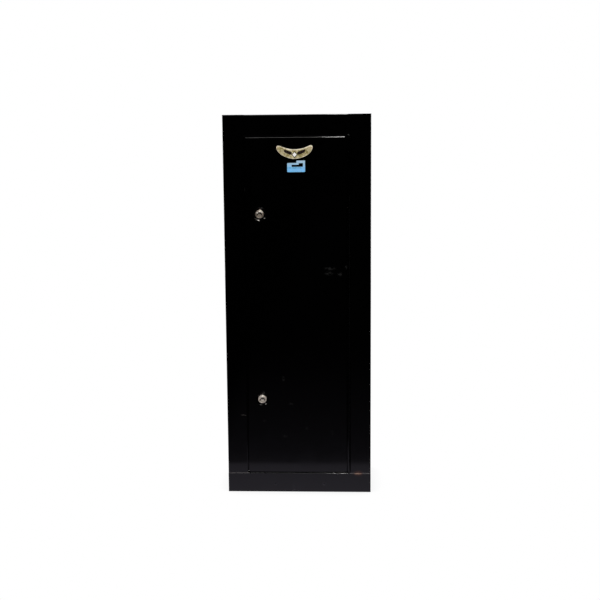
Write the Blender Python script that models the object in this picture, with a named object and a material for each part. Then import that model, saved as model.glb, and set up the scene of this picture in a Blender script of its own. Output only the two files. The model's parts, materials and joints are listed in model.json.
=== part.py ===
"""Steel cabinet for long guns: an inset door on a full-length hinge, and two key cam locks.

Metres, +Z up, front towards -Y. The origin is on the floor, in the middle of the whole object's box.
"""

import math

import bmesh
import bpy
from mathutils import Matrix, Vector

# Shell
WIDTH = 0.5334
HEIGHT = 1.397
DEPTH = 0.3048
SHEET = 0.001
BEND = 0.0025  # outside radius of a fold
INNER_BEND = BEND - SHEET
GAP = 0.0003
PROUD = 0.007  # how far the lock heads stand in front of the shell
FRONT = (PROUD - DEPTH) / 2
BACK = FRONT + DEPTH
SIDE = WIDTH / 2

# Door opening: the faces of the frame that look into it
OPEN_LEFT = -0.1932
OPEN_RIGHT = 0.1905
OPEN_BOTTOM = 0.073
OPEN_TOP = 1.3205
STOP_DEPTH = 0.020  # from the shell's front to the back of the flange that the door closes against
STOP_WIDTH = 0.012
SILL_PROUD = SHEET + GAP
REAR_FLANGE = 0.018
WING_LAP = 0.004  # how far a sheet's flat ends run in behind its fold, to join it

# Door
REVEAL = 0.003  # the gap round the door on its three free sides
DOOR_LEFT = OPEN_LEFT + REVEAL
DOOR_RIGHT = 0.1803
DOOR_BOTTOM = OPEN_BOTTOM + REVEAL
DOOR_TOP = OPEN_TOP - REVEAL
DOOR_DEPTH = 0.018
DOOR_LIP = 0.012
DOOR_CORNER = 0.008
LIP_CORNER = 0.004
CORNER_STEPS = 4
STIFFENER_X = -0.005
STIFFENER_HALF = 0.020
STIFFENER_BRIM = 0.035
STIFFENER_ENDS = 0.030
STIFFENER_BEND = 0.002

# Hinge
HINGE_X = 0.1854
HINGE_Y = FRONT - 0.002
KNUCKLE_R = 0.0048
LEAF = 0.0012
PIN_R = 0.0032
LEAF_START = 0.0042  # from the pin's middle back to the flat part of a leaf
LEAF_END = 0.0198
KNUCKLES = 24
KNUCKLE_GAP = 0.0004
ROLL = math.radians(290)
ROLL_STEPS = 12
PIN_SHORT = 0.001  # how far the pin stops short of the hinge's ends

# Locks: x, z of each axis
UPPER_LOCK = (-0.1366, 1.0425)
LOWER_LOCK = (-0.1352, 0.3570)
COLLAR_R = 0.0245
HEAD_R = 0.0155
BARREL_R = 0.0094
BORE_R = 0.0073
HOLE_R = 0.0098
CAM_FRONT = 0.0215  # behind the shell's front, so that the cam turns in behind the stop flange
CAM_THICK = 0.0025
CAM_REACH = 0.053
CAM_HALF = 0.0075
DRIVE = 0.0070
SCREW_R = 0.0022
CAM_TIP_R = 0.0065
CAM_TAPER = 0.030  # where the cam's straight taper reaches the width of its tip
DIAL_R = 0.0119
DIAL_FACE = 0.001 - PROUD
DIAL_REAR = -0.0036
KEYWAY_HALF = (0.0085, 0.0016)
KEYWAY_DEPTH = 0.0015
KEY_BORE_HALF = (0.0052, 0.0014)
KEY_BORE_DEPTH = 0.010
DISH_R = 0.0122
DISH_FLOOR = -0.0032
BACK_WASHER = (0.0150, 0.0012)  # radius and thickness
NUT = (0.0152, 0.0050)
CAM_WASHER = (0.0062, 0.0010)
SCREW_HEAD = (0.0046, 0.0035)
SCREW_REACH = 0.0085

# Inside
REST_Z = 0.960
REST_DEPTH = 0.130
REST_PLATE = 0.0012
REST_FOAM = 0.020
REST_FLANGE = 0.018
REST_CORNER = 0.012  # where a flange stops short of the plate's corners
REST_MARGIN = 0.003  # how far the foam stands past the steel, in the slots and in front
SLOTS = 8
SLOT_R = 0.019
SLOT_DEPTH = 0.048
SLOT_STEPS = 8
FLOOR_FOAM = 0.020
FOAM_MARGIN = 0.003
FOAM_EDGE = 0.002
PAN_FLANGE = 0.045
PAN_REAR_FLANGE = 0.012
RIVETS_X = (-0.089, 0.093)
RIVET_Z = 0.0295
RIVET_HOLE_R = 0.0022
RIVET_HEAD = (0.0042, 0.0013)  # radius and height
RIVET_TAIL = (0.0027, 0.0018)
ANCHOR_X = 0.200
ANCHORS_Z = (0.150, 1.250)
ANCHOR_R = 0.0045

# Decals
DECAL = 0.0003
BANNER_X = -0.0078
BANNER_BOTTOM = 1.2395
BANNER_HALF = 0.065
BANNER_HEIGHT = 0.034
BANNER_CURVE = 0.115  # radius of its lower edge
BANNER_END = 0.014  # the length of each round end
BANNER_STEPS = 8
LABEL = (-0.0347, 0.0297, 1.1926, 1.2335)  # left, right, bottom, top
LABEL_CORNER = 0.004


def behind(depth):
    """The Y of a plane this far behind the shell's front face."""
    return FRONT + depth


# Scene and materials


def clear_scene():
    for obj in list(bpy.data.objects):
        bpy.data.objects.remove(obj, do_unlink=True)


def finish(name, colour, roughness, metallic=0.0):
    material = bpy.data.materials.new(name)
    material.use_nodes = True
    shader = material.node_tree.nodes["Principled BSDF"]
    shader.inputs["Base Color"].default_value = (*colour, 1.0)
    shader.inputs["Roughness"].default_value = roughness
    shader.inputs["Metallic"].default_value = metallic
    return material


def make_finishes():
    return {
        "paint": finish("black_paint", (0.006, 0.006, 0.008), 0.32),
        "collar": finish("black_collar", (0.010, 0.009, 0.009), 0.28),
        "nickel": finish("nickel", (0.66, 0.60, 0.52), 0.28, 1.0),
        "zinc": finish("zinc_steel", (0.52, 0.53, 0.55), 0.38, 1.0),
        "foam": finish("grey_foam", (0.055, 0.055, 0.058), 0.95),
        "gold": finish("gold_decal", (0.42, 0.30, 0.14), 0.45),
        "blue": finish("blue_label", (0.45, 0.58, 0.72), 0.45),
    }


# Shape tools


def add_object(name, bm, material=None, location=(0, 0, 0)):
    mesh = bpy.data.meshes.new(name)
    bm.to_mesh(mesh)
    bm.free()
    if material:
        mesh.materials.append(material)
    obj = bpy.data.objects.new(name, mesh)
    obj.location = location
    bpy.context.scene.collection.objects.link(obj)
    return obj


def smooth(obj, angle=35):
    obj.data.shade_smooth()
    obj.data.set_sharp_from_angle(angle=math.radians(angle))
    return obj


def boolean(obj, other, operation):
    other.hide_render = True
    other.display_type = "WIRE"
    modifier = obj.modifiers.new(other.name, "BOOLEAN")
    modifier.object = other
    modifier.operation = operation
    modifier.solver = "EXACT"


def cut(obj, *cutters):
    for cutter in cutters:
        boolean(obj, cutter, "DIFFERENCE")


def weld(obj, *pieces):
    for piece in pieces:
        boolean(obj, piece, "UNION")


def box(name, low, high, material=None):
    size = [b - a for a, b in zip(low, high)]
    centre = [(a + b) / 2 for a, b in zip(low, high)]
    bm = bmesh.new()
    bmesh.ops.create_cube(bm, size=1)
    bmesh.ops.scale(bm, vec=size, verts=bm.verts)
    bmesh.ops.translate(bm, vec=centre, verts=bm.verts)
    return add_object(name, bm, material)


def folded_sheet(name, path, along, material, side=1, bend=BEND):
    """A folded strip of sheet: the open path is one face's section, drawn out by the vector along.

    The thickness goes to the side that (path direction x along) points to, or away from it at side -1.
    """
    bm = bmesh.new()
    near = [bm.verts.new(point) for point in path]
    far = [bm.verts.new(Vector(point) + Vector(along)) for point in path]
    for i in range(len(path) - 1):
        bm.faces.new((near[i], near[i + 1], far[i + 1], far[i]))
    folds = [edge for edge in bm.edges if len(edge.link_faces) == 2]
    bmesh.ops.bevel(bm, geom=folds, offset=bend, segments=3, profile=0.5, affect="EDGES")
    obj = add_object(name, bm, material)
    thickness = obj.modifiers.new("Sheet", "SOLIDIFY")
    thickness.thickness = SHEET
    thickness.offset = side
    thickness.use_even_offset = True
    return obj


def drawn_solid(name, outline, along, material=None, location=(0, 0, 0)):
    """The flat outline drawn out by the vector along into a solid."""
    bm = bmesh.new()
    near = [bm.verts.new(point) for point in outline]
    far = [bm.verts.new(Vector(point) + Vector(along)) for point in outline]
    bm.faces.new(near)
    bm.faces.new(far)
    for i in range(len(outline)):
        bm.faces.new((near[i - 1], near[i], far[i], far[i - 1]))
    bmesh.ops.recalc_face_normals(bm, faces=bm.faces)
    return add_object(name, bm, material, location)


def turned(name, profile, material=None, location=(0, 0, 0), steps=36):
    """A piece turned about the Y axis through its origin, from the (radius, y) points of its section."""
    bm = bmesh.new()
    points = [bm.verts.new((radius, y, 0)) for radius, y in profile]
    edges = [bm.edges.new(pair) for pair in zip(points, points[1:])]
    if min(radius for radius, y in profile) > 0:
        edges.append(bm.edges.new((points[-1], points[0])))
    bmesh.ops.spin(
        bm,
        geom=points + edges,
        cent=(0, 0, 0),
        axis=(0, 1, 0),
        angle=2 * math.pi,
        steps=steps,
        use_merge=True,
    )
    bmesh.ops.remove_doubles(bm, verts=bm.verts, dist=1e-6)
    bmesh.ops.recalc_face_normals(bm, faces=bm.faces)
    return smooth(add_object(name, bm, material, location))


def rod(name, radius, start, end, material=None, location=(0, 0, 0), steps=24):
    """A solid round bar along Y."""
    profile = [(0, start), (radius, start), (radius, end), (0, end)]
    return turned(name, profile, material, location, steps)


def ring(name, inner, outer, start, end, material, location, steps=36):
    profile = [(inner, start), (outer, start), (outer, end), (inner, end)]
    return turned(name, profile, material, location, steps)


def arc(centre_a, centre_b, radius, start, end, steps):
    """Points (a, b) on an arc from the angle start to the angle end, in degrees."""
    angles = [math.radians(start + (end - start) * i / steps) for i in range(steps + 1)]
    return [
        (centre_a + radius * math.cos(angle), centre_b + radius * math.sin(angle))
        for angle in angles
    ]


def rounded_rectangle(left, right, bottom, top, radius, steps=CORNER_STEPS):
    """Points (a, b) round a rectangle with round corners, counter-clockwise from the lower right."""
    return (
        arc(right - radius, bottom + radius, radius, -90, 0, steps)
        + arc(right - radius, top - radius, radius, 0, 90, steps)
        + arc(left + radius, top - radius, radius, 90, 180, steps)
        + arc(left + radius, bottom + radius, radius, 180, 270, steps)
    )


# Cabinet


def make_side_panel(name, hand, opening_x, finishes):
    """Side, front stile and rear flange from one folded sheet; hand is -1 on the left, 1 on the right.

    Beside the top rail the stile ends square, so that the two sheets meet in a tight joint.
    """
    outer = hand * SIDE
    top = HEIGHT - SHEET - GAP
    rear = BACK - SHEET - GAP
    path = [
        (opening_x, behind(STOP_DEPTH), 0),
        (opening_x, FRONT, 0),
        (outer, FRONT, 0),
        (outer, rear, 0),
        (outer - hand * REAR_FLANGE, rear, 0),
    ]
    panel = folded_sheet(name, path, (0, 0, top), finishes["paint"], side=-hand)
    stop_low = OPEN_BOTTOM + STOP_WIDTH + GAP
    stop_high = OPEN_TOP - STOP_WIDTH - GAP
    into_opening = opening_x - hand * STOP_WIDTH
    into_wall = opening_x + hand * SHEET
    stop = box(
        "stop_of_" + name,
        (min(into_opening, into_wall), behind(STOP_DEPTH - SHEET), stop_low),
        (max(into_opening, into_wall), behind(STOP_DEPTH), stop_high),
    )
    left, right = sorted((opening_x, opening_x + hand * 2 * BEND))
    square = box("square_end_of_" + name, (left, FRONT, OPEN_TOP), (right, FRONT + SHEET, top))
    weld(panel, stop, square)
    return panel


def make_back_panel(finishes):
    panel = box(
        "back_panel",
        (-SIDE, BACK - SHEET, 0),
        (SIDE, BACK, HEIGHT - SHEET - GAP),
        finishes["paint"],
    )
    for x in (-ANCHOR_X, ANCHOR_X):
        for z in ANCHORS_Z:
            drill = rod("anchor_hole", ANCHOR_R, -0.01, 0.01, location=(x, BACK, z), steps=16)
            cut(panel, drill)
    return panel


def make_top_panel(finishes):
    """The top sheet, folded down into the front rail over the door and its stop flange."""
    left = OPEN_LEFT + GAP
    right = OPEN_RIGHT - GAP
    path = [
        (left, BACK, HEIGHT),
        (left, FRONT, HEIGHT),
        (left, FRONT, OPEN_TOP),
        (left, behind(STOP_DEPTH - SHEET), OPEN_TOP),
        (left, behind(STOP_DEPTH - SHEET), OPEN_TOP - STOP_WIDTH),
    ]
    panel = folded_sheet("top_panel", path, (right - left, 0, 0), finishes["paint"], side=-1)
    for hand, inner in ((-1, left), (1, right)):
        low_x, high_x = sorted((hand * SIDE, inner - hand * WING_LAP))
        weld(panel, box("top_wing", (low_x, FRONT, HEIGHT - SHEET), (high_x, BACK, HEIGHT)))
    return panel


def make_bottom_pan(finishes):
    """The floor, with a rear flange and a front flange between the stiles that the sill is riveted to.

    It reaches past the stiles' folded edges, which stand in slots, to close the front corners.
    """
    edge = SIDE - SHEET - INNER_BEND
    rear = BACK - 2 * (SHEET + GAP) - GAP
    tongue_rear = STOP_DEPTH + 2 * GAP + BEND
    path = [
        (-edge, behind(STOP_DEPTH + GAP), 0),
        (-edge, rear, 0),
        (-edge, rear, PAN_REAR_FLANGE),
    ]
    pan = folded_sheet("bottom_pan", path, (2 * edge, 0, 0), finishes["paint"], side=-1)
    left = OPEN_LEFT + GAP
    right = OPEN_RIGHT - GAP
    tongue = box("pan_tongue", (left, FRONT, 0), (right, behind(tongue_rear), SHEET))
    flange = box("pan_flange", (left, FRONT, 0), (right, behind(SHEET), PAN_FLANGE))
    weld(pan, tongue, flange)
    for hand, opening_x in ((-1, OPEN_LEFT), (1, OPEN_RIGHT)):
        low_x, high_x = sorted((hand * edge, opening_x + hand * (SHEET + GAP)))
        front = behind(SHEET + INNER_BEND)
        weld(pan, box("pan_ear", (low_x, front, 0), (high_x, behind(tongue_rear), SHEET)))
    cut(pan, *rivet_holes("pan"))
    return pan


def rivet_holes(name):
    return [
        rod(name + "_rivet_hole", RIVET_HOLE_R, -0.004, 0.004, location=(x, FRONT, RIVET_Z), steps=12)
        for x in RIVETS_X
    ]


def make_front_sill(finishes):
    """The full-width plate under the door, folded back under it and up into its stop flange."""
    front = FRONT - SILL_PROUD
    left = OPEN_LEFT + GAP
    right = OPEN_RIGHT - GAP
    path = [
        (left, front, 0),
        (left, front, OPEN_BOTTOM),
        (left, behind(STOP_DEPTH - SHEET), OPEN_BOTTOM),
        (left, behind(STOP_DEPTH - SHEET), OPEN_BOTTOM + STOP_WIDTH),
    ]
    sill = folded_sheet("front_sill", path, (right - left, 0, 0), finishes["paint"])
    wing_top = OPEN_BOTTOM - SHEET
    for hand, inner in ((-1, left), (1, right)):
        low_x, high_x = sorted((hand * SIDE, inner - hand * WING_LAP))
        weld(sill, box("sill_wing", (low_x, front, 0), (high_x, front + SHEET, wing_top)))
    cut(sill, *rivet_holes("sill"))
    return sill


def make_sill_rivet(name, x, finishes):
    head_r, head = RIVET_HEAD
    tail_r, tail_length = RIVET_TAIL
    shank_r = RIVET_HOLE_R - GAP
    face = -SILL_PROUD - GAP
    tail = SHEET + GAP
    profile = [
        (0, face - head),
        (0.5 * head_r, face - 0.9 * head),
        (0.85 * head_r, face - 0.55 * head),
        (head_r, face),
        (shank_r, face),
        (shank_r, tail),
        (tail_r, tail),
        (0.8 * tail_r, tail + 0.8 * tail_length),
        (0, tail + tail_length),
    ]
    return turned(name, profile, finishes["paint"], (x, FRONT, RIVET_Z), steps=20)


# Inside


def notched_outline(left, right, front, rear, slot_r, slot_depth):
    """Points (x, y) of a plate whose front edge has a row of slots with round ends."""
    points = [(right, rear), (left, rear), (left, front)]
    pitch = (right - left) / SLOTS
    for i in range(SLOTS):
        middle = left + pitch * (i + 0.5)
        centre_y = front + slot_depth - slot_r
        points.append((middle - slot_r, front))
        points += arc(middle, centre_y, slot_r, 180, 0, SLOT_STEPS)
        points.append((middle + slot_r, front))
    points.append((right, front))
    return points


def make_barrel_rest(finishes):
    """A notched shelf plate with its ends and back turned up, and the notched foam that lies in it."""
    edge = SIDE - SHEET - 2 * GAP
    rear = BACK - 2 * (SHEET + GAP) - GAP
    front = rear - REST_DEPTH
    outline = notched_outline(-edge, edge, front, rear, SLOT_R + REST_MARGIN, SLOT_DEPTH)
    plate = drawn_solid(
        "barrel_rest_bracket",
        [(x, y, REST_Z) for x, y in outline],
        (0, 0, REST_PLATE),
        finishes["paint"],
    )
    low = REST_Z + REST_PLATE / 2
    high = REST_Z + REST_FLANGE
    for hand in (-1, 1):
        left, right = sorted((hand * edge, hand * (edge - REST_PLATE)))
        near = front + REST_CORNER
        far = rear - REST_CORNER
        weld(plate, box("rest_end", (left, near, low), (right, far, high)))
    inner = edge - REST_CORNER
    weld(plate, box("rest_back", (-inner, rear - REST_PLATE, low), (inner, rear, high)))
    outline = notched_outline(
        -edge + REST_PLATE + GAP,
        edge - REST_PLATE - GAP,
        front - REST_MARGIN,
        rear - REST_PLATE - GAP,
        SLOT_R,
        SLOT_DEPTH,
    )
    base = REST_Z + REST_PLATE + GAP
    foam = [(x, y, base) for x, y in outline]
    drawn_solid("barrel_rest_foam", foam, (0, 0, REST_FOAM), finishes["foam"])


def make_floor_foam(finishes):
    """The plain foam mat that the butts of the guns stand on."""
    edge = SIDE - SHEET - FOAM_MARGIN
    base = SHEET + GAP
    pad = box(
        "floor_foam",
        (-edge, behind(STOP_DEPTH + FOAM_MARGIN), base),
        (edge, BACK - 2 * FOAM_MARGIN, base + FLOOR_FOAM),
        finishes["foam"],
    )
    soften = pad.modifiers.new("Edges", "BEVEL")
    soften.width = FOAM_EDGE
    soften.segments = 2
    return pad


# Door


def door_axis():
    empty = bpy.data.objects.new("door_axis", None)
    empty.location = (HINGE_X, HINGE_Y, 0)
    bpy.context.scene.collection.objects.link(empty)
    return empty


def hang_on(empty, *pieces):
    """Parents pieces to an empty and leaves them where they are."""
    for piece in pieces:
        piece.parent = empty
        piece.matrix_parent_inverse = Matrix.Translation(-empty.location)


def make_door_skin(finishes):
    """A pan: a face with round corners, walls on all four sides and lips turned in at the back."""
    face = rounded_rectangle(DOOR_LEFT, DOOR_RIGHT, DOOR_BOTTOM, DOOR_TOP, DOOR_CORNER)
    lip = rounded_rectangle(
        DOOR_LEFT + DOOR_LIP,
        DOOR_RIGHT - DOOR_LIP,
        DOOR_BOTTOM + DOOR_LIP,
        DOOR_TOP - DOOR_LIP,
        LIP_CORNER,
    )
    rear = behind(DOOR_DEPTH)
    bm = bmesh.new()
    front_loop = [bm.verts.new((x, FRONT, z)) for x, z in face]
    rear_loop = [bm.verts.new((x, rear, z)) for x, z in face]
    lip_loop = [bm.verts.new((x, rear, z)) for x, z in lip]
    bm.faces.new(front_loop)
    for i in range(len(face)):
        bm.faces.new((front_loop[i], front_loop[i - 1], rear_loop[i - 1], rear_loop[i]))
        bm.faces.new((rear_loop[i], rear_loop[i - 1], lip_loop[i - 1], lip_loop[i]))
    folds = [bm.edges.get((front_loop[i - 1], front_loop[i])) for i in range(len(face))]
    bmesh.ops.bevel(bm, geom=folds, offset=BEND, segments=3, profile=0.5, affect="EDGES")
    skin = smooth(add_object("door_skin", bm, finishes["paint"]))
    thickness = skin.modifiers.new("Sheet", "SOLIDIFY")
    thickness.thickness = SHEET
    thickness.offset = -1
    thickness.use_even_offset = True
    for x, z in (UPPER_LOCK, LOWER_LOCK):
        cut(skin, rod("lock_hole", HOLE_R, -0.005, 0.005, location=(x, FRONT, z), steps=36))
    return skin


def make_door_stiffener(finishes):
    """A hat-shaped channel down the back of the skin."""
    seat = behind(SHEET + GAP)
    crown = behind(DOOR_DEPTH - 2 * SHEET)
    low = DOOR_BOTTOM + STIFFENER_ENDS
    half_hat = [(STIFFENER_HALF, crown), (STIFFENER_HALF, seat), (STIFFENER_BRIM, seat)]
    section = [(-x, y) for x, y in reversed(half_hat)] + half_hat
    path = [(STIFFENER_X + x, y, low) for x, y in section]
    along = (0, 0, DOOR_TOP - STIFFENER_ENDS - low)
    paint = finishes["paint"]
    return folded_sheet("door_stiffener", path, along, paint, side=-1, bend=STIFFENER_BEND)


def make_hinge_leaf(name, hand, first, finishes):
    """A leaf with every other knuckle rolled from its own edge round the pin; hand is -1 on the door."""
    outer = HINGE_X + hand * KNUCKLE_R
    inner = outer - hand * LEAF
    front = HINGE_Y + LEAF_START
    rear = HINGE_Y + LEAF_END
    pitch = (DOOR_TOP - DOOR_BOTTOM) / KNUCKLES
    own = [
        (DOOR_BOTTOM + pitch * i + KNUCKLE_GAP / 2, DOOR_BOTTOM + pitch * (i + 1) - KNUCKLE_GAP / 2)
        for i in range(first, KNUCKLES, 2)
    ]
    levels = sorted({DOOR_BOTTOM, DOOR_TOP} | {z for ends in own for z in ends})
    bm = bmesh.new()
    section = ((outer, rear), (inner, rear), (inner, front), (outer, front))
    rows = [[bm.verts.new((x, y, z)) for x, y in section] for z in levels]
    bm.faces.new(rows[0])
    bm.faces.new(rows[-1])
    edge_faces = []
    for below, above in zip(rows, rows[1:]):
        for i in range(4):
            face = bm.faces.new((below[i - 1], below[i], above[i], above[i - 1]))
            if i == 3:
                edge_faces.append((below[0].co.z, face))
    bmesh.ops.recalc_face_normals(bm, faces=bm.faces)
    for z, face in edge_faces:
        if any(abs(z - start) < GAP / 10 for start, end in own):
            roll_knuckle(bm, face, -hand)
    bmesh.ops.recalc_face_normals(bm, faces=bm.faces)
    return smooth(add_object(name, bm, finishes["paint"]))


def roll_knuckle(bm, face, turn):
    """Draws one stretch of a leaf's edge forward to the pin, then rolls it round the pin."""
    tab = bmesh.ops.extrude_face_region(bm, geom=[face])["geom"]
    corners = [v for v in tab if isinstance(v, bmesh.types.BMVert)]
    bmesh.ops.translate(bm, vec=(0, -LEAF_START, 0), verts=corners)
    end = [f for f in tab if isinstance(f, bmesh.types.BMFace)]
    bmesh.ops.spin(
        bm,
        geom=end,
        cent=(HINGE_X, HINGE_Y, 0),
        axis=(0, 0, 1),
        angle=turn * ROLL,
        steps=ROLL_STEPS,
    )
    bmesh.ops.delete(bm, geom=[f for f in end + [face] if f.is_valid], context="FACES_ONLY")


def make_hinge_pin(finishes):
    low = DOOR_BOTTOM + PIN_SHORT
    length = DOOR_TOP - PIN_SHORT - low
    outline = [(x, y, low) for x, y in arc(HINGE_X, HINGE_Y, PIN_R, 0, 337.5, 15)]
    return smooth(drawn_solid("hinge_pin", outline, (0, 0, length), finishes["zinc"]))


def banner_outline():
    """A blank band that hangs in a shallow curve, with round ends, as points (x, z)."""
    straight = BANNER_HALF - BANNER_END
    half = BANNER_HEIGHT / 2
    along = [straight * (2 * i / BANNER_STEPS - 1) for i in range(1, BANNER_STEPS)]
    flat = [(x, -half) for x in along]
    flat += [
        (straight + BANNER_END * math.cos(turn), half * math.sin(turn))
        for turn in (math.pi * (i / BANNER_STEPS - 0.5) for i in range(BANNER_STEPS + 1))
    ]
    flat += [(-x, -z) for x, z in flat]
    return [
        (
            BANNER_X + x,
            BANNER_BOTTOM + half + z + BANNER_CURVE - math.sqrt(BANNER_CURVE**2 - x**2),
        )
        for x, z in flat
    ]


def make_decals(finishes):
    base = FRONT - GAP
    band = [(x, base, z) for x, z in banner_outline()]
    plate = [(x, base, z) for x, z in rounded_rectangle(*LABEL, LABEL_CORNER)]
    return (
        drawn_solid("emblem_decal", band, (0, -DECAL, 0), finishes["gold"]),
        drawn_solid("label_decal", plate, (0, -DECAL, 0), finishes["blue"]),
    )


# Locks: every piece is made about the lock's axis, with y 0 on the door's face


def make_lock_body(name, place, finishes):
    """The pieces of one lock that stay with the door."""
    seat_r = HEAD_R + GAP
    rim_r = COLLAR_R - 0.0014
    collar = turned(
        name + "_collar",
        [
            (seat_r, -GAP),
            (COLLAR_R, -GAP),
            (COLLAR_R, -0.0024),
            (COLLAR_R - 0.0005, -0.0032),
            (rim_r, -0.0036),
            (rim_r - 0.0011, -0.0033),
            (seat_r + 0.0031, -0.0016),
            (seat_r, -0.0014),
        ],
        finishes["collar"],
        place,
    )
    rear = CAM_FRONT - 2 * GAP
    edge = 0.0008
    housing = turned(
        name + "_housing",
        [
            (BORE_R, rear),
            (BARREL_R, rear),
            (BARREL_R, -GAP),
            (HEAD_R, -GAP),
            (HEAD_R, edge - PROUD),
            (HEAD_R - edge, -PROUD),
            (DISH_R + edge, -PROUD),
            (DISH_R, edge - PROUD),
            (DISH_R, DISH_FLOOR),
            (BORE_R, DISH_FLOOR),
        ],
        finishes["nickel"],
        place,
    )
    zinc = finishes["zinc"]
    washer_r, washer_thick = BACK_WASHER
    washer_front = SHEET + GAP
    washer_rear = washer_front + washer_thick
    washer = ring(name + "_washer", HOLE_R, washer_r, washer_front, washer_rear, zinc, place)
    nut_r, nut_thick = NUT
    hexagon = [(x, washer_rear + GAP, z) for x, z in arc(0, 0, nut_r, 0, 300, 5)]
    nut = drawn_solid(name + "_nut", hexagon, (0, nut_thick, 0), zinc, place)
    cut(nut, rod(name + "_nut_thread", HOLE_R, 0, 3 * nut_thick, location=place, steps=36))
    return collar, housing, washer, nut


def slot_cutter(name, half, front, rear, place):
    """A box cutter about the lock's axis, from its half width and half height."""
    cutter = box(name, (-half[0], front, -half[1]), (half[0], rear, half[1]))
    cutter.location = place
    return cutter


def make_plug(name, place, finishes):
    """The plug: a dial with a keyway in front, and a square end with a tapped hole behind."""
    body_r = BORE_R - GAP
    shoulder = CAM_FRONT - GAP
    end = CAM_FRONT + CAM_THICK - GAP
    edge = 0.0004
    plug = turned(
        name + "_plug",
        [
            (0, DIAL_FACE),
            (DIAL_R - edge, DIAL_FACE),
            (DIAL_R, DIAL_FACE + edge),
            (DIAL_R, DIAL_REAR),
            (body_r, DIAL_REAR),
            (body_r, shoulder),
            (0, shoulder),
        ],
        finishes["nickel"],
        place,
    )
    half = (DRIVE / 2, DRIVE / 2)
    weld(plug, slot_cutter(name + "_drive", half, shoulder - DRIVE / 4, end, place))
    front = DIAL_FACE - edge
    keyway = slot_cutter(name + "_keyway", KEYWAY_HALF, front, DIAL_FACE + KEYWAY_DEPTH, place)
    bore = slot_cutter(name + "_key_bore", KEY_BORE_HALF, DIAL_FACE, DIAL_FACE + KEY_BORE_DEPTH, place)
    hole_start = end - SCREW_REACH - GAP
    hole = rod(name + "_tapped_hole", SCREW_R + GAP, hole_start, end + GAP, location=place, steps=16)
    cut(plug, keyway, bore, hole)
    return plug


def make_cam(name, place, finishes):
    """The flat arm on the plug's square end, which hangs straight down when the lock is open."""
    tip_z = CAM_TIP_R - CAM_REACH
    outline = (
        arc(0, 0, CAM_HALF, 0, 180, 8)
        + [(-CAM_TIP_R, -CAM_TAPER)]
        + arc(0, tip_z, CAM_TIP_R, 180, 360, 8)
        + [(CAM_TIP_R, -CAM_TAPER)]
    )
    section = [(x, CAM_FRONT, z) for x, z in outline]
    cam = drawn_solid(name + "_cam", section, (0, CAM_THICK, 0), finishes["zinc"], place)
    half = (DRIVE / 2 + GAP, DRIVE / 2 + GAP)
    start = CAM_FRONT - CAM_THICK
    cut(cam, slot_cutter(name + "_cam_socket", half, start, CAM_FRONT + 2 * CAM_THICK, place))
    return cam


def make_cam_fastener(name, place, finishes):
    """The washer and the hexagon screw that hold the cam on the plug."""
    zinc = finishes["zinc"]
    washer_r, washer_thick = CAM_WASHER
    front = CAM_FRONT + CAM_THICK + GAP
    rear = front + washer_thick
    washer = ring(name + "_cam_washer", SCREW_R + GAP, washer_r, front, rear, zinc, place, 24)
    head_r, head = SCREW_HEAD
    head_front = rear + GAP
    hexagon = [(x, head_front, z) for x, z in arc(0, 0, head_r, 0, 300, 5)]
    screw = drawn_solid(name + "_cam_screw", hexagon, (0, head, 0), zinc, place)
    tip = CAM_FRONT + CAM_THICK - SCREW_REACH
    shank = rod(name + "_cam_screw_shank", SCREW_R, tip, head_front + head / 3, location=place, steps=16)
    weld(screw, shank)
    return washer, screw


def main():
    clear_scene()
    finishes = make_finishes()
    make_side_panel("left_side_panel", -1, OPEN_LEFT, finishes)
    make_side_panel("right_side_panel", 1, OPEN_RIGHT, finishes)
    make_back_panel(finishes)
    make_top_panel(finishes)
    make_bottom_pan(finishes)
    make_front_sill(finishes)
    for name, x in zip(("sill_rivet_left", "sill_rivet_right"), RIVETS_X):
        make_sill_rivet(name, x, finishes)
    make_barrel_rest(finishes)
    make_floor_foam(finishes)
    make_hinge_leaf("hinge_frame_leaf", 1, 0, finishes)
    make_hinge_pin(finishes)

    axis = door_axis()
    hang_on(axis, make_door_skin(finishes), make_door_stiffener(finishes))
    hang_on(axis, make_hinge_leaf("hinge_door_leaf", -1, 1, finishes))
    hang_on(axis, *make_decals(finishes))
    for name, (x, z) in (("upper_lock", UPPER_LOCK), ("lower_lock", LOWER_LOCK)):
        place = (x, FRONT, z)
        hang_on(axis, *make_lock_body(name, place, finishes))
        hang_on(axis, make_plug(name, place, finishes), make_cam(name, place, finishes))
        hang_on(axis, *make_cam_fastener(name, place, finishes))


main()
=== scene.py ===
import json
import math

import bmesh
import bpy
from mathutils import Matrix, Vector, noise


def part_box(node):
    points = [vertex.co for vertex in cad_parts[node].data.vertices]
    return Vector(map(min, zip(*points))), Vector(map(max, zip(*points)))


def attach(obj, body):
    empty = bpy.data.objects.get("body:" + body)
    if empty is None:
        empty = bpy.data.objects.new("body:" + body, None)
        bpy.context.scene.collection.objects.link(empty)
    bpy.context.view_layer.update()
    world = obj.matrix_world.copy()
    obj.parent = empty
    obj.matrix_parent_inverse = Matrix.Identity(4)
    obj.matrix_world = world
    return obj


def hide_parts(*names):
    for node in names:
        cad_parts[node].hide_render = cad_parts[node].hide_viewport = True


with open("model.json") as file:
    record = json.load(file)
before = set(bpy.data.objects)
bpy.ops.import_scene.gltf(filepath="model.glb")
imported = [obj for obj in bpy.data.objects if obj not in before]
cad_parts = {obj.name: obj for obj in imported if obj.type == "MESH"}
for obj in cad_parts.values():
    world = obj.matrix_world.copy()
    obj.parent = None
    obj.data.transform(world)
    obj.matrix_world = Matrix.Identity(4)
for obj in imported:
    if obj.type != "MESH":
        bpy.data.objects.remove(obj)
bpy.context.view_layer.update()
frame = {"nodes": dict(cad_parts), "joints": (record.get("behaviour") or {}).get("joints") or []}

NODES = frame["nodes"]
JOINTS = {joint["name"]: joint for joint in frame["joints"]}
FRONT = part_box("left_side_panel")[0].y  # the plane of the door and the stiles
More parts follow.
